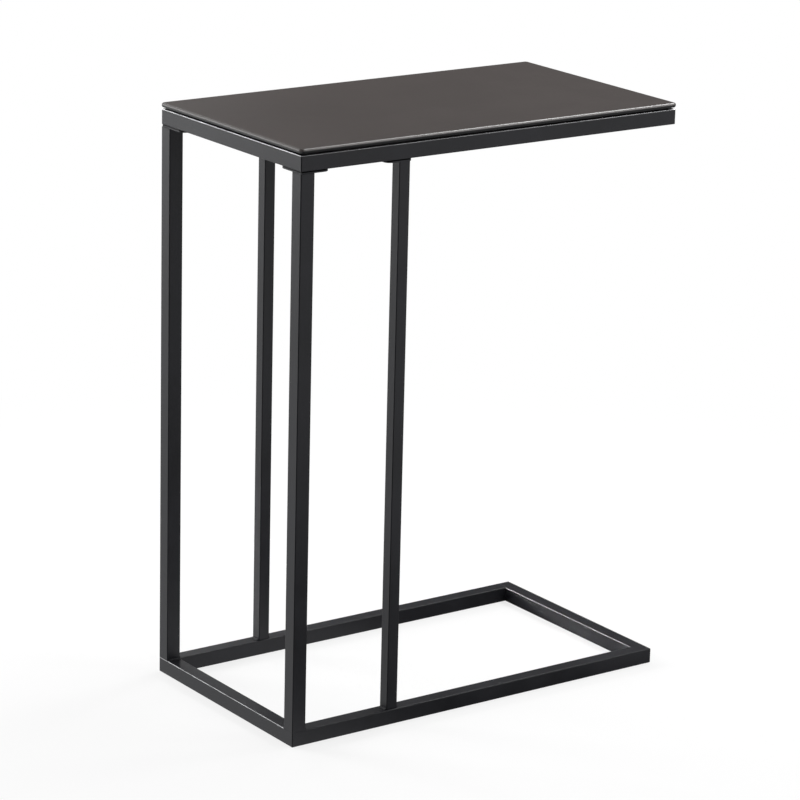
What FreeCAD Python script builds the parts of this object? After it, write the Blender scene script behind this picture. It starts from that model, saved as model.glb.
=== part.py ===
import FreeCAD, Part
import os
from math import cos, pi, radians, sin, sqrt

# C-shaped accent table: a glass top on a mitred frame of square tube, four posts at one end only,
# and an open base frame of the same tube.
# X runs along the table from the post end (-X) to the open end (+X), Y across it, Z up from the floor.
# The origin is on the floor, under the middle of the table.

# Overall sizes, in millimetres
table_height = 610.0
frame_length = 460.0
frame_width = 254.0

# Glass sheet with a rounded, polished edge
glass_thickness = 5.0
glass_overhang = 1.0
glass_corner_radius = 4.0
glass_edge_flat = 0.6

# Soft discs that carry the glass
pad_diameter = 9.0
pad_thickness = 1.5
pad_end_distance = 40.0

# Square tube of both frames and of the corner posts
tube_side = 15.9
tube_wall = 1.2
tube_corner_radius = 1.0

# Thinner square tube of the inner posts
inner_tube_side = 12.7
inner_tube_wall = 1.0
inner_tube_corner_radius = 0.9
inner_post_distance = 116.0

# Plates on the post tops, with round-ended arms for the screws
plate_thickness = 2.5
plate_inset = 0.75
long_arm_reach = 11.5
short_arm_reach = 15.5
inner_arm_reach = 8.0
plate_notch_radius = 1.0
screw_hole_clearance = 0.5

# Square weld nuts inside the top rails
nut_side = 9.0
nut_height = 4.0

# Socket screws with a countersunk head of 90 degrees, flush with the underside of the plates
screw_diameter = 5.0
screw_length = 10.0
thread_clearance = 0.1
head_diameter = 9.2
head_seat_clearance = 0.1
socket_width = 3.0
socket_depth = 1.8

# Weld metal at the feet of the posts
weld_leg = 2.5
weld_crown = 0.25
weld_feather = 0.3

# Heights and half sizes that follow from the sizes above
glass_bottom = table_height - glass_thickness
frame_top = glass_bottom - pad_thickness
frame_bottom = frame_top - tube_side
plate_bottom = frame_bottom - plate_thickness
half_length = frame_length / 2
half_width = frame_width / 2
rail_centre_y = half_width - tube_side / 2
rail_centre_x = half_length - tube_side / 2
inner_post_x = -half_length + inner_post_distance + inner_tube_side / 2
arm_width = tube_side - 2 * plate_inset
screw_hole_radius = (screw_diameter + screw_hole_clearance) / 2
X_AXIS = FreeCAD.Vector(1, 0, 0)
Z_AXIS = FreeCAD.Vector(0, 0, 1)
ORIGIN = FreeCAD.Vector(0, 0, 0)


def point(x, y, z=0.0):
    return FreeCAD.Vector(x, y, z)


def line(start, end):
    return Part.LineSegment(start, end).toShape()


def arc(start, middle, end):
    return Part.Arc(start, middle, end).toShape()


def rounded_rectangle(size_x, size_y, radius):
    """Closed outline about the origin, with round corners."""
    x = size_x / 2 - radius
    y = size_y / 2 - radius
    centres = [point(x, y), point(-x, y), point(-x, -y), point(x, -y)]
    corners = []
    for quarter, centre in enumerate(centres):
        circle = Part.Circle(centre, Z_AXIS, radius)
        corners.append(Part.ArcOfCircle(circle, quarter * pi / 2, (quarter + 1) * pi / 2).toShape())
    edges = []
    for corner, following in zip(corners, corners[1:] + corners[:1]):
        edges += [corner, line(corner.Vertexes[-1].Point, following.Vertexes[0].Point)]
    return Part.Wire(edges)


def square_bar(side, radius, length):
    """Solid bar with the tube's outer shape, standing on the origin."""
    return Part.Face(rounded_rectangle(side, side, radius)).extrude(point(0, 0, length))


def square_tube(side, wall, radius, length):
    """Hollow tube standing on the origin, with a square bore."""
    bore_side = side - 2 * wall
    bore = Part.makeBox(bore_side, bore_side, length, point(-bore_side / 2, -bore_side / 2))
    return square_bar(side, radius, length).cut(bore)


def placed(shape, x, y, z):
    moved = shape.copy()
    moved.translate(point(x, y, z))
    return moved


def mirrored_y(shape):
    """The same piece on the other long side of the table."""
    return shape.mirror(ORIGIN, FreeCAD.Vector(0, 1, 0))


def save(node, *solids):
    """Write one sub-part: a single solid, or a group of like solids."""
    shape = solids[0] if len(solids) == 1 else Part.makeCompound(list(solids))
    shape.exportStep(os.path.join("parts", node + ".step"))


# Frames of mitred tube

def mitre_prism(outer_ends):
    """Upright prism that keeps one side of the frame: its two outer corners, then the mitres inwards."""
    inner_ends = []
    for corner in reversed(outer_ends):
        step_x = -tube_side if corner.x > 0 else tube_side
        step_y = -tube_side if corner.y > 0 else tube_side
        inner_ends.append(corner.add(point(step_x, step_y)))
    outline = Part.makePolygon(outer_ends + inner_ends + outer_ends[:1])
    ground_corners = Part.Face(rounded_rectangle(frame_length, frame_width, tube_corner_radius))
    return ground_corners.common(Part.Face(outline)).extrude(point(0, 0, tube_side))


def long_rail(profile_bar):
    """Rail along X on the front long side, mitred at both ends, lying on the floor plane."""
    bar = profile_bar(frame_length)
    bar.rotate(ORIGIN, FreeCAD.Vector(0, 1, 0), 90)
    bar = placed(bar, -half_length, -rail_centre_y, tube_side / 2)
    return bar.common(mitre_prism([point(-half_length, -half_width), point(half_length, -half_width)]))


def short_rail(profile_bar):
    """Rail along Y at the post end, mitred at both ends, lying on the floor plane."""
    bar = profile_bar(frame_width)
    bar.rotate(ORIGIN, X_AXIS, -90)
    bar = placed(bar, -rail_centre_x, -half_width, tube_side / 2)
    return bar.common(mitre_prism([point(-half_length, half_width), point(-half_length, -half_width)]))


def rail_tube(length):
    return square_tube(tube_side, tube_wall, tube_corner_radius, length)


def rail_bar(length):
    return square_bar(tube_side, tube_corner_radius, length)


def opposite_end(shape):
    """The same rail at the open end of the table."""
    return shape.mirror(ORIGIN, X_AXIS)


# Screw places under the top frame: two arms at each corner post, one at each inner post
long_arm_screw = point(-half_length + tube_side + long_arm_reach, -rail_centre_y)
short_arm_screw = point(-rail_centre_x, -half_width + tube_side + short_arm_reach)
inner_arm_screw = point(inner_post_x - inner_tube_side / 2 - inner_arm_reach, -rail_centre_y)
front_screws = [long_arm_screw, short_arm_screw, inner_arm_screw]
screw_places = front_screws + [point(place.x, -place.y) for place in front_screws]


def with_screw_holes(rail):
    """Top rail with the clearance holes of its screws in the lower wall."""
    for place in screw_places:
        foot = point(place.x, place.y, frame_bottom)
        rail = rail.cut(Part.makeCylinder(screw_hole_radius, tube_side / 2, foot))
    return rail


# Pieces on the post tops

def arm_end(centre, along):
    """Half-round end of a plate arm as an arc that runs anticlockwise round the arm's screw."""
    radius = arm_width / 2
    side = FreeCAD.Vector(along.y, -along.x, 0) * radius
    return centre.add(side), centre.add(along * radius), centre.sub(side)


def plate_solid(edges):
    face = Part.Face(Part.Wire(edges))
    solid = face.extrude(point(0, 0, plate_thickness))
    return placed(solid, 0, 0, plate_bottom)


def screw_hole(place):
    """Clearance hole through a plate, countersunk from below."""
    foot = point(place.x, place.y, plate_bottom)
    mouth = head_diameter / 2 + head_seat_clearance
    shaft = Part.makeCylinder(screw_hole_radius, plate_thickness, foot)
    return shaft.fuse(Part.makeCone(mouth, screw_hole_radius, mouth - screw_hole_radius, foot))


def corner_plate():
    """L-shaped plate on the front corner post, one arm along each rail, notch rounded."""
    outer = point(-half_length + plate_inset, -half_width + plate_inset)
    long_start, long_tip, long_end = arm_end(long_arm_screw, FreeCAD.Vector(1, 0, 0))
    short_start, short_tip, short_end = arm_end(short_arm_screw, FreeCAD.Vector(0, 1, 0))
    notch = point(short_start.x, long_end.y)
    notch_from = notch.add(point(plate_notch_radius, 0))
    notch_to = notch.add(point(0, plate_notch_radius))
    bulge = plate_notch_radius * (1 - sqrt(0.5))
    edges = [
        line(outer, long_start),
        arc(long_start, long_tip, long_end),
        line(long_end, notch_from),
        arc(notch_from, notch.add(point(bulge, bulge)), notch_to),
        line(notch_to, short_start),
        arc(short_start, short_tip, short_end),
        line(short_end, outer),
    ]
    return plate_solid(edges).cut(screw_hole(long_arm_screw)).cut(screw_hole(short_arm_screw))


def inner_plate():
    """Plate on the front inner post, with one arm towards the post end."""
    square_end = inner_post_x + inner_tube_side / 2
    start, tip, end = arm_end(inner_arm_screw, FreeCAD.Vector(-1, 0, 0))
    far_start = point(square_end, start.y)
    far_end = point(square_end, end.y)
    edges = [arc(start, tip, end), line(end, far_end), line(far_end, far_start), line(far_start, start)]
    return plate_solid(edges).cut(screw_hole(inner_arm_screw))


def weld_nut():
    """Square nut standing on the origin, which is welded to the lower wall inside a top rail."""
    block = Part.makeBox(nut_side, nut_side, nut_height, point(-nut_side / 2, -nut_side / 2))
    return block.cut(Part.makeCylinder((screw_diameter + thread_clearance) / 2, nut_height))


def socket_screw():
    """Countersunk screw, head downwards: the head's face is at height 0 and the shank points up."""
    shank = screw_diameter / 2
    head = head_diameter / 2
    corners = [
        point(0, 0, 0),
        point(head, 0, 0),
        point(shank, 0, head - shank),
        point(shank, 0, screw_length),
        point(0, 0, screw_length),
    ]
    blank = Part.Face(Part.makePolygon(corners + corners[:1])).revolve(ORIGIN, Z_AXIS, 360)
    across_corners = socket_width / sqrt(3)
    turns = [radians(60 * corner) for corner in range(7)]
    hexagon = [point(across_corners * cos(turn), across_corners * sin(turn)) for turn in turns]
    return blank.cut(Part.Face(Part.makePolygon(hexagon)).extrude(point(0, 0, socket_depth)))


# Weld metal at the feet

def foot_fillet(length):
    """Fillet weld along Y, in the corner between the floor of the joint and a face at X = 0."""
    toe = point(weld_leg, 0, 0)
    top = point(0, 0, weld_leg)
    crown = point(weld_leg / 2 + weld_crown, 0, weld_leg / 2 + weld_crown)
    edges = [line(ORIGIN, toe), arc(toe, crown, top), line(top, ORIGIN)]
    bead = Part.Face(Part.Wire(edges)).extrude(point(0, length, 0))
    return placed(bead, 0, -length / 2, 0)


def groove_fill():
    """Weld ground flush over the rounded rail edges under the outer faces of the front corner post."""
    depth = tube_corner_radius - weld_feather
    foot = square_bar(tube_side, tube_corner_radius, depth)
    inset = tube_corner_radius - tube_side / 2
    behind_groove = Part.makeBox(tube_side, tube_side, depth, point(inset, inset))
    strip = placed(foot.cut(behind_groove), -rail_centre_x, -rail_centre_y, tube_side - depth)
    return strip.cut(long_rail(rail_bar)).cut(short_rail(rail_bar))


def front_foot_welds():
    corner_flat = tube_side - 2 * tube_corner_radius
    inner_flat = inner_tube_side - 2 * inner_tube_corner_radius
    corner_bead = foot_fillet(corner_flat)
    across_bead = foot_fillet(corner_flat)
    across_bead.rotate(ORIGIN, Z_AXIS, 90)
    inner_bead = foot_fillet(inner_flat)
    inner_bead_back = inner_bead.copy()
    inner_bead_back.rotate(ORIGIN, Z_AXIS, 180)
    half_inner = inner_tube_side / 2
    return [
        placed(corner_bead, -half_length + tube_side, -rail_centre_y, tube_side),
        placed(across_bead, -rail_centre_x, -half_width + tube_side, tube_side),
        placed(inner_bead, inner_post_x + half_inner, -rail_centre_y, tube_side),
        placed(inner_bead_back, inner_post_x - half_inner, -rail_centre_y, tube_side),
        groove_fill(),
    ]


def glass_sheet():
    """Glass top, its edge rounded from both faces to a narrow flat."""
    edge_radius = (glass_thickness - glass_edge_flat) / 2
    outline = rounded_rectangle(
        frame_length + 2 * glass_overhang, frame_width + 2 * glass_overhang, glass_corner_radius)
    sheet = Part.Face(outline).extrude(point(0, 0, glass_thickness))
    rim = [edge for edge in sheet.Edges if edge.BoundBox.ZLength < glass_thickness / 2]
    return placed(sheet.makeFillet(edge_radius, rim), 0, 0, glass_bottom)


os.makedirs("parts", exist_ok=True)

front_rail = long_rail(rail_tube)
end_rail = short_rail(rail_tube)
base_rails = {
    "front": front_rail,
    "back": mirrored_y(front_rail),
    "post_end": end_rail,
    "open_end": opposite_end(end_rail),
}
for side, rail in base_rails.items():
    save("base_rail_" + side, rail)
    save("top_rail_" + side, with_screw_holes(placed(rail, 0, 0, frame_bottom)))

post_length = plate_bottom - tube_side
corner_post = square_tube(tube_side, tube_wall, tube_corner_radius, post_length)
corner_post = placed(corner_post, -rail_centre_x, -rail_centre_y, tube_side)
inner_post = square_tube(inner_tube_side, inner_tube_wall, inner_tube_corner_radius, post_length)
inner_post = placed(inner_post, inner_post_x, -rail_centre_y, tube_side)
post_pieces = {
    "corner_post": corner_post,
    "inner_post": inner_post,
    "corner_plate": corner_plate(),
    "inner_plate": inner_plate(),
}
for name, piece in post_pieces.items():
    save(name + "_front", piece)
    save(name + "_back", mirrored_y(piece))

screw = socket_screw()
nut = weld_nut()
nut_foot = frame_bottom + tube_wall
save("plate_screws", *[placed(screw, place.x, place.y, plate_bottom) for place in screw_places])
save("weld_nuts", *[placed(nut, place.x, place.y, nut_foot) for place in screw_places])

welds = front_foot_welds()
save("foot_welds", *(welds + [mirrored_y(weld) for weld in welds]))

pad = Part.makeCylinder(pad_diameter / 2, pad_thickness)
pad_end_x = half_length - pad_end_distance
pad_places = [(x, y) for x in (-pad_end_x, 0, pad_end_x) for y in (-rail_centre_y, rail_centre_y)]
save("glass_pads", *[placed(pad, x, y, frame_top) for x, y in pad_places])
save("glass_top", glass_sheet())
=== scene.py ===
import bpy
from math import pi, radians
from mathutils import Matrix, Vector


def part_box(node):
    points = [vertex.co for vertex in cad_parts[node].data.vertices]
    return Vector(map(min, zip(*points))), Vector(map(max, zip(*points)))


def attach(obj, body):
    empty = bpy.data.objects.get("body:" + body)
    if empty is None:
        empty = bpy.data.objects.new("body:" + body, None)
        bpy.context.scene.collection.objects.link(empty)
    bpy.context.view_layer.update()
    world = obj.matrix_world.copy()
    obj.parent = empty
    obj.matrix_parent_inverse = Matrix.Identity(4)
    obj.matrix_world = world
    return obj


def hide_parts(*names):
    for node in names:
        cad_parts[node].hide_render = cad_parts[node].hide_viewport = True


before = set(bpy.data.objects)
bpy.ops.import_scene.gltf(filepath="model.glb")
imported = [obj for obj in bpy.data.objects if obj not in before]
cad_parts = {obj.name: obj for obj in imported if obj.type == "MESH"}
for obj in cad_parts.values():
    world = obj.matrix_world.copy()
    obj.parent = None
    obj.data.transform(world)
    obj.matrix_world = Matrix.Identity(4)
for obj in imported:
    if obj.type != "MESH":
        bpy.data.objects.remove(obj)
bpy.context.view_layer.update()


# Base frame. Four lengths of 16 mm square steel tube, mitred, welded into a rectangle and ground flush.
# It lies flat on the floor. Like all the steel that shows, it has a satin black powder coat, baked on.

coat_black = (0.0085, 0.0087, 0.0112, 1.0)
coat_grey = (0.0135, 0.0138, 0.0175, 1.0)
# near-black of the painted shade on upright edges and along the plate joints
painted_shade_black = (0.0006, 0.0006, 0.0007, 1.0)
steel_rubbed = (0.42, 0.42, 0.43, 1.0)


def shader_node(tree, kind, inputs=None, **settings):
    """New node in a shader tree, its sockets set to values or joined to other sockets."""
    node = tree.nodes.new("ShaderNode" + kind)
    for name, value in settings.items():
        setattr(node, name, value)
    for name, value in (inputs or {}).items():
        if isinstance(value, bpy.types.NodeSocket):
            tree.links.new(value, node.inputs[name])
        else:
            node.inputs[name].default_value = value
    return node


def shader_group(name, inputs, outputs):
    """Empty node group with named number sockets, and its inner input and output nodes."""
    group = bpy.data.node_groups.new(name, "ShaderNodeTree")
    for socket_name, value in inputs.items():
        socket = group.interface.new_socket(socket_name, in_out="INPUT", socket_type="NodeSocketFloat")
        socket.default_value = value
    for socket_name in outputs:
        group.interface.new_socket(socket_name, in_out="OUTPUT", socket_type="NodeSocketFloat")
    return group, group.nodes.new("NodeGroupInput"), group.nodes.new("NodeGroupOutput")


def use_group(tree, group, inputs=None):
    node = shader_node(tree, "Group", node_tree=group)
    for name, value in (inputs or {}).items():
        node.inputs[name].default_value = value
    return node


# Fine orange peel and slow mottling of a sprayed or moulded skin, sizes as waves per metre
skin, skin_in, skin_out = shader_group(
    "sprayed_skin", {"Peel Scale": 700.0, "Mottle Scale": 14.0}, ["Height", "Mottle"])
skin_place = shader_node(skin, "TexCoord").outputs["Object"]
peel = shader_node(skin, "TexNoise", {
    "Vector": skin_place, "Scale": skin_in.outputs["Peel Scale"], "Detail": 3.0, "Roughness": 0.55})
mottle = shader_node(skin, "TexNoise", {
    "Vector": skin_place, "Scale": skin_in.outputs["Mottle Scale"], "Detail": 4.0, "Roughness": 0.6})
mottle_range = shader_node(skin, "MapRange", {
    "Value": mottle.outputs["Fac"], "From Min": 0.35, "From Max": 0.65})
skin.links.new(peel.outputs["Fac"], skin_out.inputs["Height"])
skin.links.new(mottle_range.outputs["Result"], skin_out.inputs["Mottle"])

# Upper rounded edges, where the coat is rubbed through: those across the table, as it slides endways under a
# seat, and by Long Wear those along it
edge, edge_in, edge_out = shader_group(
    "tube_edges", {"Patch Scale": 60.0, "Wear": 1.0, "Long Wear": 0.0}, ["Rubbed", "Upright"])
edge_place = shader_node(edge, "TexCoord")
edge_slant = shader_node(edge, "VectorMath", {0: edge_place.outputs["Normal"]}, operation="ABSOLUTE")
edge_axes = shader_node(edge, "SeparateXYZ", {"Vector": edge_slant.outputs["Vector"]})
edge_level = shader_node(edge, "Math", {
    0: edge_axes.outputs["X"], 1: edge_axes.outputs["Y"]}, operation="MAXIMUM")
edge_flat = shader_node(edge, "Math", {
    0: edge_level.outputs[0], 1: edge_axes.outputs["Z"]}, operation="MAXIMUM")
edge_round = shader_node(edge, "MapRange", {
    "Value": edge_flat.outputs[0], "From Min": 0.99, "From Max": 0.76})
patches = shader_node(edge, "TexNoise", {
    "Vector": edge_place.outputs["Object"], "Scale": edge_in.outputs["Patch Scale"], "Detail": 4.0})
patch_range = shader_node(edge, "MapRange", {
    "Value": patches.outputs["Fac"], "From Min": 0.36, "From Max": 0.62, "To Min": 0.7})
edge_mask = shader_node(edge, "Math", {
    0: edge_round.outputs["Result"], 1: patch_range.outputs["Result"]}, operation="MULTIPLY")
edge_tilt = shader_node(edge, "SeparateXYZ", {"Vector": edge_place.outputs["Normal"]})
edge_upper = shader_node(edge, "MapRange", {
    "Value": edge_tilt.outputs["Z"], "From Min": 0.08, "From Max": 0.2})
edge_across = shader_node(edge, "MapRange", {
    "Value": edge_axes.outputs["X"], "From Min": 0.08, "From Max": 0.2,
    "To Min": edge_in.outputs["Long Wear"]})
for limit in (edge_upper.outputs["Result"], edge_across.outputs["Result"], edge_in.outputs["Wear"]):
    edge_mask = shader_node(edge, "Math", {0: edge_mask.outputs[0], 1: limit}, operation="MULTIPLY")
edge.links.new(edge_mask.outputs[0], edge_out.inputs["Rubbed"])

# Upright rounded edges, darkened as painted shade: near-black, and made metal so that the coat's gloss goes
# too
edge_shade_steep = shader_node(edge, "MapRange", {
    "Value": edge_axes.outputs["Z"], "From Min": 0.3, "From Max": 0.1, "To Max": 0.85})
edge_painted_shade = shader_node(edge, "Math", {
    0: edge_round.outputs["Result"], 1: edge_shade_steep.outputs["Result"]}, operation="MULTIPLY")
edge.links.new(edge_painted_shade.outputs[0], edge_out.inputs["Upright"])


def new_material(name):
    material = bpy.data.materials.new(name)
    material.use_nodes = True
    return material, material.node_tree, material.node_tree.nodes["Principled BSDF"]


def mixed_colour(tree, mask, first, second):
    """Colour that goes from first to second with the mask, by the colour sockets of a Mix node."""
    node = shader_node(tree, "Mix", data_type="RGBA")
    for socket, value in ((node.inputs[0], mask), (node.inputs[6], first), (node.inputs[7], second)):
        if isinstance(value, bpy.types.NodeSocket):
            tree.links.new(value, socket)
        else:
            socket.default_value = value
    return node.outputs[2]


def finish_nodes(material, *names):
    for name in names:
        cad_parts[name].material_slots[0].material = material


coat_specular = 0.28


def coated_steel(name, wear, long_wear=0.0):
    """Powder coat on steel, with its shader tree, its shader and the sockets of its colour and of its metal
    mask, which holds both the bare steel and the painted shade.
    """
    material, tree, shader = new_material(name)
    coat_skin = use_group(tree, skin, {"Peel Scale": 650.0, "Mottle Scale": 16.0})
    coat_edge = use_group(tree, edge, {"Wear": wear, "Long Wear": long_wear})
    colour = mixed_colour(tree, coat_skin.outputs["Mottle"], coat_black, coat_grey)
    colour = mixed_colour(tree, coat_edge.outputs["Rubbed"], colour, steel_rubbed)
    # upright rounded edges get painted shade: near-black, and made metal so that they lose the coat's gloss
    colour = mixed_colour(tree, coat_edge.outputs["Upright"], colour, painted_shade_black)
    bare_and_shaded = shader_node(tree, "Math", {
        0: coat_edge.outputs["Rubbed"], 1: coat_edge.outputs["Upright"]}, operation="MAXIMUM")
    coat_gloss = shader_node(tree, "MapRange", {
        "Value": coat_skin.outputs["Mottle"], "To Min": 0.4, "To Max": 0.47})
    gloss = shader_node(tree, "Math", {
        0: coat_edge.outputs["Rubbed"], 1: -0.2, 2: coat_gloss.outputs["Result"]}, operation="MULTIPLY_ADD")
    bump = shader_node(tree, "Bump", {
        "Height": coat_skin.outputs["Height"], "Strength": 0.12, "Distance": 0.0004})
    tree.links.new(colour, shader.inputs["Base Color"])
    tree.links.new(gloss.outputs[0], shader.inputs["Roughness"])
    tree.links.new(bump.outputs["Normal"], shader.inputs["Normal"])
    tree.links.new(bare_and_shaded.outputs[0], shader.inputs["Metallic"])
    shader.inputs["Specular IOR Level"].default_value = coat_specular
    return material, tree, shader, colour, bare_and_shaded.outputs[0]


base_coat = coated_steel("base_coat", 0.6)[0]
finish_nodes(base_coat, "base_rail_front", "base_rail_back", "base_rail_post_end", "base_rail_open_end")


# Posts. Two corner posts of the frame's own 16 mm tube, flush with its outer faces, and two inner posts of
# 13 mm tube, all welded to the base and coated with it.

finish_nodes(base_coat, "corner_post_front", "corner_post_back", "inner_post_front", "inner_post_back")


# Foot welds. Fillets of weld metal where the posts stand on the base, with the ripples of a bead run by hand,
# and the grooves under the corner posts filled and ground flush. All of it is coated with the frame, and the
# coat is rubbed off the end of the strip under the back corner post.

bead_reach = 0.00235
ripple_half = 0.0011
ripple_pitch = 0.001
ripple_lean = radians(30.0)
bead_voxel = 0.0002
cut_tolerance = 1e-7
groove_width = 0.0012
groove_depth = 0.0007
tube_rounding = 0.001
inner_tube_rounding = 0.0009
bare_depth = 0.0003


def apply_modifier(piece, kind, **settings):
    modifier = piece.modifiers.new(kind.lower(), kind)
    for name, value in settings.items():
        setattr(modifier, name, value)
    bpy.ops.object.modifier_apply(modifier=modifier.name)


def select_in_mesh(piece, kind, chosen):
    """Edit mode with only the chosen faces or edges selected; chosen is given the mesh and each element."""
    bpy.ops.object.mode_set(mode="EDIT")
    bpy.ops.mesh.select_mode(type=kind)
    bpy.ops.mesh.select_all(action="DESELECT")
    bpy.ops.object.mode_set(mode="OBJECT")
    for element in piece.data.polygons if kind == "FACE" else piece.data.edges:
        element.select = chosen(piece.data, element)
    bpy.ops.object.mode_set(mode="EDIT")


def fillet_bead(length):
    """Bead along Y at the origin, in the corner between a post on its -X side and the rail under it."""
    ripples = round((length - 2 * ripple_half) / ripple_pitch) + 1
    bpy.ops.object.select_all(action="DESELECT")
    bpy.ops.mesh.primitive_uv_sphere_add(segments=24, ring_count=12, radius=bead_reach)
    bead = bpy.context.active_object
    bpy.ops.object.mode_set(mode="EDIT")
    bpy.ops.mesh.select_all(action="SELECT")
    bpy.ops.transform.resize(value=(1.0, ripple_half / bead_reach, 1.0))
    bpy.ops.transform.rotate(value=ripple_lean, orient_axis="X", center_override=(0.0, 0.0, 0.0))
    bpy.ops.transform.rotate(value=-pi / 4, orient_axis="Y", center_override=(0.0, 0.0, 0.0))
    bpy.ops.transform.translate(value=(0.0, -ripple_pitch * (ripples - 1) / 2, 0.0))
    bpy.ops.object.mode_set(mode="OBJECT")
    apply_modifier(bead, "ARRAY", count=ripples, use_relative_offset=False, use_constant_offset=True,
                   constant_offset_displace=(0.0, ripple_pitch, 0.0))
    apply_modifier(bead, "REMESH", mode="VOXEL", voxel_size=bead_voxel)
    bpy.ops.object.mode_set(mode="EDIT")
    for inwards in ((1.0, 0.0, 0.0), (0.0, 0.0, 1.0)):
        bpy.ops.mesh.select_all(action="SELECT")
        bpy.ops.mesh.bisect(plane_co=(0.0, 0.0, 0.0), plane_no=inwards, use_fill=True, clear_inner=True,
                            threshold=cut_tolerance)
    bpy.ops.object.mode_set(mode="OBJECT")
    return bead


def groove_fill(side):
    """Flush strip round an outer corner at the origin, below it, with legs along +X and +Y."""
    bpy.ops.object.select_all(action="DESELECT")
    bpy.ops.mesh.primitive_cube_add(
        size=1.0, location=(groove_width / 2, groove_width / 2, -groove_depth / 2),
        scale=(groove_width, groove_width, groove_depth))
    bpy.ops.object.transform_apply(location=True, rotation=False, scale=True)
    strip = bpy.context.active_object
    for axis, step in ((0, (side - groove_width, 0.0, 0.0)), (1, (0.0, side - groove_width, 0.0))):
        select_in_mesh(strip, "FACE", lambda mesh, face: (
            face.normal[axis] > 0.9 and face.center[1 - axis] < groove_width))
        bpy.ops.mesh.extrude_region_move(TRANSFORM_OT_translate={"value": step})
        bpy.ops.object.mode_set(mode="OBJECT")
    select_in_mesh(strip, "EDGE", lambda mesh, line: all(
        mesh.vertices[end].co.xy.length < cut_tolerance for end in line.vertices))
    bpy.ops.mesh.bevel(offset=tube_rounding, segments=6, affect="EDGES")
    bpy.ops.object.mode_set(mode="OBJECT")
    return strip


def set_at(piece, places):
    """Copies of a piece, one for each place and turn about Z, instead of the piece itself."""
    copies = []
    for place, turn in places:
        copy = piece.copy()
        copy.data = piece.data.copy()
        copy.data.transform(Matrix.Translation(place) @ Matrix.Rotation(turn, 4, "Z"))
        bpy.context.scene.collection.objects.link(copy)
        copies.append(copy)
    bpy.data.objects.remove(piece)
    return copies


corner_places, inner_places, groove_places = [], [], []
for post, front in (("corner_post_front", True), ("corner_post_back", False)):
    low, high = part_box(post)
    middle = (low + high) / 2
    corner_places.append(((high.x, middle.y, low.z), 0.0))
    corner_places.append(((middle.x, high.y if front else low.y, low.z), pi / 2 if front else -pi / 2))
    groove_places.append(((low.x, low.y if front else high.y, low.z), 0.0 if front else -pi / 2))
corner_side = high.x - low.x
for post in ("inner_post_front", "inner_post_back"):
    low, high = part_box(post)
    middle = (low + high) / 2
    inner_places.append(((high.x, middle.y, low.z), 0.0))
    inner_places.append(((low.x, middle.y, low.z), pi))
inner_side = high.x - low.x

welds = set_at(fillet_bead(corner_side - 2 * tube_rounding), corner_places)
welds += set_at(fillet_bead(inner_side - 2 * inner_tube_rounding), inner_places)
welds += set_at(groove_fill(corner_side), groove_places)
bpy.ops.object.select_all(action="DESELECT")
for weld in welds:
    weld.select_set(True)
foot_beads = welds[0]
bpy.context.view_layer.objects.active = foot_beads
bpy.ops.object.join()
bpy.ops.object.shade_smooth_by_angle(angle=radians(50.0))
foot_beads.name = "foot_beads"

bead_coat, tree, shader = new_material("bead_coat")
bead_skin = use_group(tree, skin, {"Peel Scale": 420.0, "Mottle Scale": 90.0})
bead_colour = mixed_colour(tree, bead_skin.outputs["Mottle"], coat_black, coat_grey)
bead_satin = shader_node(tree, "MapRange", {
    "Value": bead_skin.outputs["Mottle"], "To Min": 0.52, "To Max": 0.62})
bead_bump = shader_node(tree, "Bump", {
    "Height": bead_skin.outputs["Height"], "Strength": 0.35, "Distance": 0.0006})
bead_place = shader_node(tree, "SeparateXYZ", {"Vector": shader_node(tree, "TexCoord").outputs["Object"]})
ground_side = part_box("corner_post_back")[0].x
bare_side = shader_node(tree, "MapRange", {
    "Value": bead_place.outputs["X"], "From Min": ground_side + bare_depth, "From Max": ground_side})
bare_back = shader_node(tree, "MapRange", {"Value": bead_place.outputs["Y"], "From Max": bare_depth})
bare_strip = shader_node(tree, "Math", {
    0: bare_side.outputs["Result"], 1: bare_back.outputs["Result"]}, operation="MULTIPLY")
bead_colour = mixed_colour(tree, bare_strip.outputs[0], bead_colour, steel_rubbed)
bead_gloss = shader_node(tree, "Math", {
    0: bare_strip.outputs[0], 1: -0.25, 2: bead_satin.outputs["Result"]}, operation="MULTIPLY_ADD")
tree.links.new(bead_colour, shader.inputs["Base Color"])
tree.links.new(bead_gloss.outputs[0], shader.inputs["Roughness"])
tree.links.new(bare_strip.outputs[0], shader.inputs["Metallic"])
tree.links.new(bead_bump.outputs["Normal"], shader.inputs["Normal"])
shader.inputs["Specular IOR Level"].default_value = coat_specular
foot_beads.data.materials.append(bead_coat)
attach(foot_beads, "root")
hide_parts("foot_welds")


# Post plates. Flat steel plates welded to the post tops, with round-ended arms that lie under the top rails.
# A line of painted shade, near-black and made metal so that it loses its gloss, runs along their upper edge
# under the top frame.

shade_line_height = 0.0014
shade_line_fade = 0.3 * shade_line_height

plate_coat, tree, shader, plate_colour, plate_bare_and_shade = coated_steel("plate_coat", 1.0)
plate_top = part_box("corner_plate_front")[1].z
plate_place = shader_node(tree, "SeparateXYZ", {"Vector": shader_node(tree, "TexCoord").outputs["Object"]})
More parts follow.
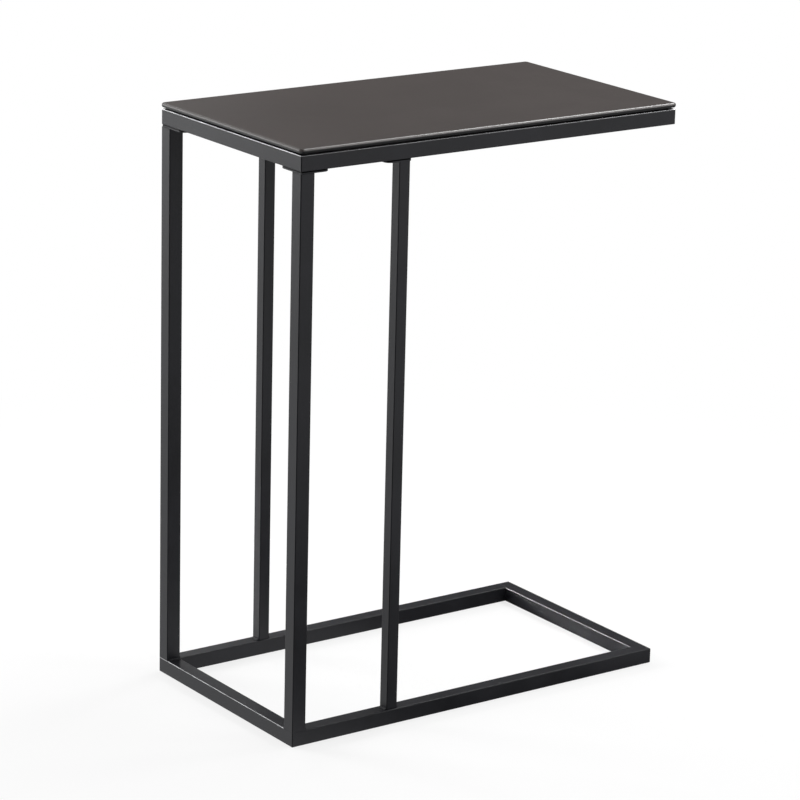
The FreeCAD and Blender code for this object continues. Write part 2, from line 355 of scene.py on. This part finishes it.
# painted shade along the top of the plates, where the gap under the top frame falls in shadow
plate_painted_shade = shader_node(tree, "MapRange", {
    "Value": plate_place.outputs["Z"],
    "From Min": plate_top - shade_line_height, "From Max": plate_top - shade_line_height + shade_line_fade})
plate_metal_and_shade = shader_node(tree, "Math", {
    0: plate_bare_and_shade, 1: plate_painted_shade.outputs["Result"]}, operation="MAXIMUM")
tree.links.new(
    mixed_colour(tree, plate_painted_shade.outputs["Result"], plate_colour, painted_shade_black), shader.inputs["Base Color"])
tree.links.new(plate_metal_and_shade.outputs[0], shader.inputs["Metallic"])
finish_nodes(plate_coat, "corner_plate_front", "corner_plate_back", "inner_plate_front", "inner_plate_back")


# Top frame. The same mitred rectangle of 16 mm tube as the base, welded, ground flush and powder coated.
# It is screwed down to the post plates, and its upper edges are rubbed bright all round under the glass.

top_coat = coated_steel("top_coat", 1.0, long_wear=2.0)[0]
finish_nodes(top_coat, "top_rail_front", "top_rail_back", "top_rail_post_end", "top_rail_open_end")


# Weld nuts. Square nuts of plain steel, one over each screw hole, welded to the lower wall inside the top
# rails, because the wall of the tube is too thin for a thread.

nut_grey = (0.42, 0.42, 0.41, 1.0)
nut_scale = (0.26, 0.25, 0.24, 1.0)

plain_steel, tree, shader = new_material("plain_steel")
nut_skin = use_group(tree, skin, {"Peel Scale": 900.0, "Mottle Scale": 220.0})
nut_colour = mixed_colour(tree, nut_skin.outputs["Mottle"], nut_grey, nut_scale)
nut_gloss = shader_node(tree, "MapRange", {
    "Value": nut_skin.outputs["Mottle"], "To Min": 0.34, "To Max": 0.55})
tree.links.new(nut_colour, shader.inputs["Base Color"])
tree.links.new(nut_gloss.outputs["Result"], shader.inputs["Roughness"])
shader.inputs["Metallic"].default_value = 1.0
finish_nodes(plain_steel, "weld_nuts")


# Plate screws. Countersunk socket screws of black oxidised steel, driven up through the plate arms into the
# weld nuts, their heads flush with the underside of the plates.

oxide_black = (0.03, 0.03, 0.032, 1.0)
oxide_rubbed = (0.12, 0.12, 0.12, 1.0)

black_oxide, tree, shader = new_material("black_oxide")
oxide_skin = use_group(tree, skin, {"Peel Scale": 1500.0, "Mottle Scale": 300.0})
oxide_colour = mixed_colour(tree, oxide_skin.outputs["Mottle"], oxide_black, oxide_rubbed)
oxide_gloss = shader_node(tree, "MapRange", {
    "Value": oxide_skin.outputs["Mottle"], "To Min": 0.5, "To Max": 0.36})
tree.links.new(oxide_colour, shader.inputs["Base Color"])
tree.links.new(oxide_gloss.outputs["Result"], shader.inputs["Roughness"])
shader.inputs["Metallic"].default_value = 1.0
finish_nodes(black_oxide, "plate_screws")


# Glass pads. Soft black rubber discs with a moulded round rim, stuck to the long top rails. They carry the
# glass and keep it off the steel.

pad_radius = 0.0045
pad_rim = 0.0006
rubber_black = (0.018, 0.018, 0.018, 1.0)
rubber_grey = (0.034, 0.034, 0.033, 1.0)

rubber, tree, shader = new_material("pad_rubber")
rubber_skin = use_group(tree, skin, {"Peel Scale": 2200.0, "Mottle Scale": 180.0})
rubber_colour = mixed_colour(tree, rubber_skin.outputs["Mottle"], rubber_black, rubber_grey)
rubber_bump = shader_node(tree, "Bump", {
    "Height": rubber_skin.outputs["Height"], "Strength": 0.3, "Distance": 0.0002})
tree.links.new(rubber_colour, shader.inputs["Base Color"])
tree.links.new(rubber_bump.outputs["Normal"], shader.inputs["Normal"])
shader.inputs["Roughness"].default_value = 0.75

pads_low, pads_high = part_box("glass_pads")
bpy.ops.object.select_all(action="DESELECT")
bpy.ops.mesh.primitive_cylinder_add(
    vertices=48, radius=pad_radius, depth=pads_high.z - pads_low.z,
    location=(pads_low.x + pad_radius, pads_low.y + pad_radius, (pads_low.z + pads_high.z) / 2))
bpy.ops.object.transform_apply(location=True, rotation=False, scale=False)
pads = bpy.context.active_object
pads.name = "rubber_pads"
select_in_mesh(pads, "EDGE", lambda mesh, line: (
    mesh.vertices[line.vertices[0]].co.z == mesh.vertices[line.vertices[1]].co.z))
bpy.ops.mesh.bevel(offset=pad_rim, segments=5, affect="EDGES")
bpy.ops.object.mode_set(mode="OBJECT")
for count, step in ((3, (pads_high.x - pad_radius, 0.0, 0.0)),
                    (2, (0.0, pads_high.y - pads_low.y - 2 * pad_radius, 0.0))):
    apply_modifier(pads, "ARRAY", count=count, use_relative_offset=False, use_constant_offset=True,
                   constant_offset_displace=step)
bpy.ops.object.shade_smooth_by_angle(angle=radians(40.0))
pads.data.materials.append(rubber)
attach(pads, "root")
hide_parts("glass_pads")


# Glass top. One sheet of dark tempered glass, 5 mm thick, its face etched to a satin and its underside coated
# with black enamel. The edge is ground round and polished, more along the long sides than at the ends.
# It lies loose on the pads. From a little above the middle of its edge downwards, its colour darkens to the
# enamel black as painted shade.

glass_black = (0.0583, 0.0494, 0.0463, 1.0)
glass_grey = (0.0668, 0.0568, 0.0534, 1.0)
# black enamel of the underside, also used as painted shade on the lower half of the edge
enamel_and_shade_black = (0.006, 0.0062, 0.0068, 1.0)

dark_glass, tree, shader = new_material("dark_glass")
glass_skin = use_group(tree, skin, {"Peel Scale": 2600.0, "Mottle Scale": 9.0})
glass_colour = mixed_colour(tree, glass_skin.outputs["Mottle"], glass_black, glass_grey)
glass_place = shader_node(tree, "TexCoord")
glass_axes = shader_node(tree, "SeparateXYZ", {"Vector": glass_place.outputs["Normal"]})
glass_level = shader_node(tree, "Math", {0: glass_axes.outputs["Z"]}, operation="ABSOLUTE")
glass_rounded = shader_node(tree, "MapRange", {
    "Value": glass_level.outputs[0], "From Min": 0.999, "From Max": 0.97})
glass_upright = shader_node(tree, "MapRange", {
    "Value": glass_level.outputs[0], "From Min": 0.6, "From Max": 0.3, "To Max": 0.25})
glass_upper = shader_node(tree, "MapRange", {
    "Value": glass_axes.outputs["Z"], "From Min": -0.1, "From Max": 0.4})
glass_side = shader_node(tree, "Math", {0: glass_axes.outputs["X"]}, operation="ABSOLUTE")
glass_end = shader_node(tree, "MapRange", {
    "Value": glass_side.outputs[0], "From Min": 0.1, "From Max": 0.5})
glass_polish = shader_node(tree, "Mix", {
    0: glass_end.outputs["Result"], 2: glass_upper.outputs["Result"], 3: glass_upright.outputs["Result"]})
glass_edge = shader_node(tree, "Math", {
    0: glass_rounded.outputs["Result"], 1: glass_polish.outputs[0]}, operation="MULTIPLY")
glass_gloss = shader_node(tree, "MapRange", {
    "Value": glass_skin.outputs["Mottle"], "To Min": 0.42, "To Max": 0.46})
# black enamel on the underside, and painted shade on the edge from a little above its middle downwards
glass_enamel_and_shade = shader_node(tree, "MapRange", {
    "Value": glass_axes.outputs["Z"], "From Min": 0.3, "From Max": 0.0})
glass_colour = mixed_colour(tree, glass_enamel_and_shade.outputs["Result"], glass_colour, enamel_and_shade_black)
tree.links.new(glass_colour, shader.inputs["Base Color"])
tree.links.new(glass_gloss.outputs["Result"], shader.inputs["Roughness"])
tree.links.new(glass_edge.outputs[0], shader.inputs["Coat Weight"])
shader.inputs["Coat Roughness"].default_value = 0.35
shader.inputs["Coat IOR"].default_value = 1.8
shader.inputs["Specular IOR Level"].default_value = 0.15
finish_nodes(dark_glass, "glass_top")


# Studio. A white floor that runs out of sight, clear from below, and white all round, but mirrored darker in
# the coat in front and on the right. Soft lights behind and on the left draw the bright lines along the
# rails, one on the right the near edge of the glass, and one in front fills the front faces.

floor_side = 30.0
floor_white = (0.9, 0.9, 0.9, 1.0)
plain_white = (1.0, 1.0, 1.0, 1.0)
picture_left = (-0.794, 0.546, 0.0)
shadow_inner = 0.3
shadow_outer = 1.1

bpy.ops.object.select_all(action="DESELECT")
bpy.ops.mesh.primitive_plane_add(size=floor_side)
floor = bpy.context.active_object
floor.name = "studio_floor"

floor_paint, tree, shader = new_material("floor_paint")
tree.nodes.remove(shader)


def seen_directly(tree):
    """One for rays that show the background: straight from the camera, or by way of gloss or glass."""
    path = shader_node(tree, "LightPath")
    seen = shader_node(tree, "Math", {
        0: path.outputs["Is Camera Ray"], 1: path.outputs["Is Glossy Ray"]}, operation="MAXIMUM")
    seen = shader_node(tree, "Math", {
        0: seen.outputs[0], 1: path.outputs["Is Transmission Ray"]}, operation="MAXIMUM")
    return seen.outputs[0]


floor_place = shader_node(tree, "TexCoord")
floor_away = shader_node(tree, "VectorMath", {0: floor_place.outputs["Object"]}, operation="LENGTH")
floor_blank = shader_node(tree, "MapRange", {
    "Value": floor_away.outputs["Value"], "From Min": shadow_inner, "From Max": shadow_outer, "To Min": 0.75},
    interpolation_type="SMOOTHSTEP")
floor_path = shader_node(tree, "LightPath")
floor_plain = shader_node(tree, "Math", {
    0: floor_blank.outputs["Result"], 1: seen_directly(tree)}, operation="MULTIPLY")
floor_glow = shader_node(tree, "Math", {
    0: floor_plain.outputs[0], 1: floor_path.outputs["Is Glossy Ray"]}, operation="MAXIMUM")
floor_lit = shader_node(tree, "BsdfDiffuse", {"Color": floor_white})
floor_side_on = shader_node(tree, "VectorMath", {
    0: floor_place.outputs["Object"], 1: picture_left}, operation="DOT_PRODUCT")
floor_reach = shader_node(tree, "Math", {0: floor_away.outputs["Value"], 1: shadow_inner}, operation="ADD")
floor_turn = shader_node(tree, "Math", {
    0: floor_side_on.outputs["Value"], 1: floor_reach.outputs[0]}, operation="DIVIDE")
floor_left = shader_node(tree, "MapRange", {
    "Value": floor_turn.outputs[0], "From Min": -0.1, "From Max": 0.22, "To Min": 0.15},
    interpolation_type="SMOOTHSTEP")
floor_right = shader_node(tree, "MapRange", {
    "Value": floor_turn.outputs[0], "From Min": -0.28, "From Max": -0.68, "To Max": 0.95},
    interpolation_type="SMOOTHSTEP")
floor_mirrored = shader_node(tree, "Math", {
    0: floor_left.outputs["Result"], 1: floor_right.outputs["Result"]}, operation="MAXIMUM")
floor_gloss = mixed_colour(
    tree, floor_path.outputs["Is Glossy Ray"], plain_white, floor_mirrored.outputs[0])
floor_even = shader_node(tree, "Emission", {"Color": floor_gloss, "Strength": 1.0})
floor_mix = shader_node(tree, "MixShader", {
    0: floor_glow.outputs[0], 1: floor_lit.outputs[0], 2: floor_even.outputs[0]})
floor_under = shader_node(tree, "MixShader", {
    0: shader_node(tree, "NewGeometry").outputs["Backfacing"], 1: floor_mix.outputs[0],
    2: shader_node(tree, "BsdfTransparent").outputs[0]})
tree.links.new(floor_under.outputs[0], tree.nodes["Material Output"].inputs["Surface"])
floor.data.materials.append(floor_paint)

world = bpy.data.worlds.new("studio_white")
world.use_nodes = True
bpy.context.scene.world = world
tree = world.node_tree
tree.nodes.clear()
world_fill = shader_node(tree, "Background", {"Color": plain_white, "Strength": 0.45})
world_ray = shader_node(tree, "TexCoord")
world_height = shader_node(tree, "SeparateXYZ", {"Vector": world_ray.outputs["Generated"]})
world_shade = shader_node(tree, "MapRange", {
    "Value": world_height.outputs["Z"], "From Min": 0.13, "From Max": 0.24, "To Min": 1.0, "To Max": 0.5},
    interpolation_type="SMOOTHSTEP")
world_side_on = shader_node(tree, "VectorMath", {
    0: world_ray.outputs["Generated"], 1: picture_left}, operation="DOT_PRODUCT")
world_side = shader_node(tree, "MapRange", {
    "Value": world_side_on.outputs["Value"], "From Min": 0.0, "From Max": 0.6, "To Min": 0.3},
    interpolation_type="SMOOTHSTEP")
world_mirrored = shader_node(tree, "Math", {
    0: world_shade.outputs["Result"], 1: world_side.outputs["Result"]}, operation="MULTIPLY")
world_path = shader_node(tree, "LightPath")
world_gloss = mixed_colour(
    tree, world_path.outputs["Is Glossy Ray"], plain_white, world_mirrored.outputs[0])
world_even = shader_node(tree, "Background", {"Color": world_gloss, "Strength": 1.0})
world_mix = shader_node(tree, "MixShader", {
    0: seen_directly(tree), 1: world_fill.outputs[0], 2: world_even.outputs[0]})
shader_node(tree, "OutputWorld", {"Surface": world_mix.outputs[0]})


def soft_light(name, place, target, width, height, power, spread=pi):
    """Rectangular soft light at a place, turned towards a target, unseen by the camera."""
    lamp = bpy.data.lights.new(name, "AREA")
    lamp.shape = "RECTANGLE"
    lamp.size = width
    lamp.size_y = height
    lamp.energy = power
    lamp.spread = spread
    light = bpy.data.objects.new(name, lamp)
    light.location = place
    light.rotation_euler = (Vector(place) - Vector(target)).to_track_quat("Z", "Y").to_euler()
    light.visible_camera = False
    bpy.context.scene.collection.objects.link(light)


table_middle = (0.0, 0.0, 0.35)
glass_back = (0.0, 0.2, 0.6)
base_post_end = (-0.2, 0.0, 0.0)
base_open_end = (0.214, 0.0, 0.0)
soft_light("back_light", (-0.4, 2.0, 1.78), table_middle, width=1.8, height=0.9, power=16.0)
soft_light("left_light", (-1.45, 2.0, 1.1), table_middle, width=0.9, height=1.75, power=35.0)
soft_light("low_left_light", (-0.95, 1.3, 0.2), base_open_end, width=0.35, height=0.2, power=0.3,
           spread=radians(10.0))
soft_light("low_back_light", (0.45, 2.2, 0.6), base_post_end, width=1.3, height=0.6, power=3.8)
soft_light("overhead_light", (1.6, 0.1, 2.4), glass_back, width=1.7, height=0.7, power=37.0)
soft_light("front_light", (1.35, -1.7, 1.3), table_middle, width=1.0, height=1.2, power=12.0)


# Camera. A long lens, 3.5 m in front of the post end and a little above the glass, with the photograph's own
# slight tilt. Its place, turn and lens are those that fit the straight edges of the table.

eye = (-2.03703, -2.82443, 1.31679)
turn, look_down, tilt = radians(-35.5698), radians(16.352), radians(1.4001)
film_width = 36.0
focal_length = 157.0971

camera_data = bpy.data.cameras.new("photo_camera")
camera_data.sensor_width = film_width
camera_data.lens = focal_length
camera = bpy.data.objects.new("photo_camera", camera_data)
camera.matrix_world = (Matrix.Translation(eye) @ Matrix.Rotation(turn, 4, "Z")
                       @ Matrix.Rotation(pi / 2 - look_down, 4, "X") @ Matrix.Rotation(tilt, 4, "Z"))
bpy.context.scene.collection.objects.link(camera)
bpy.context.scene.camera = camera
bpy.context.scene.view_settings.view_transform = "Standard"
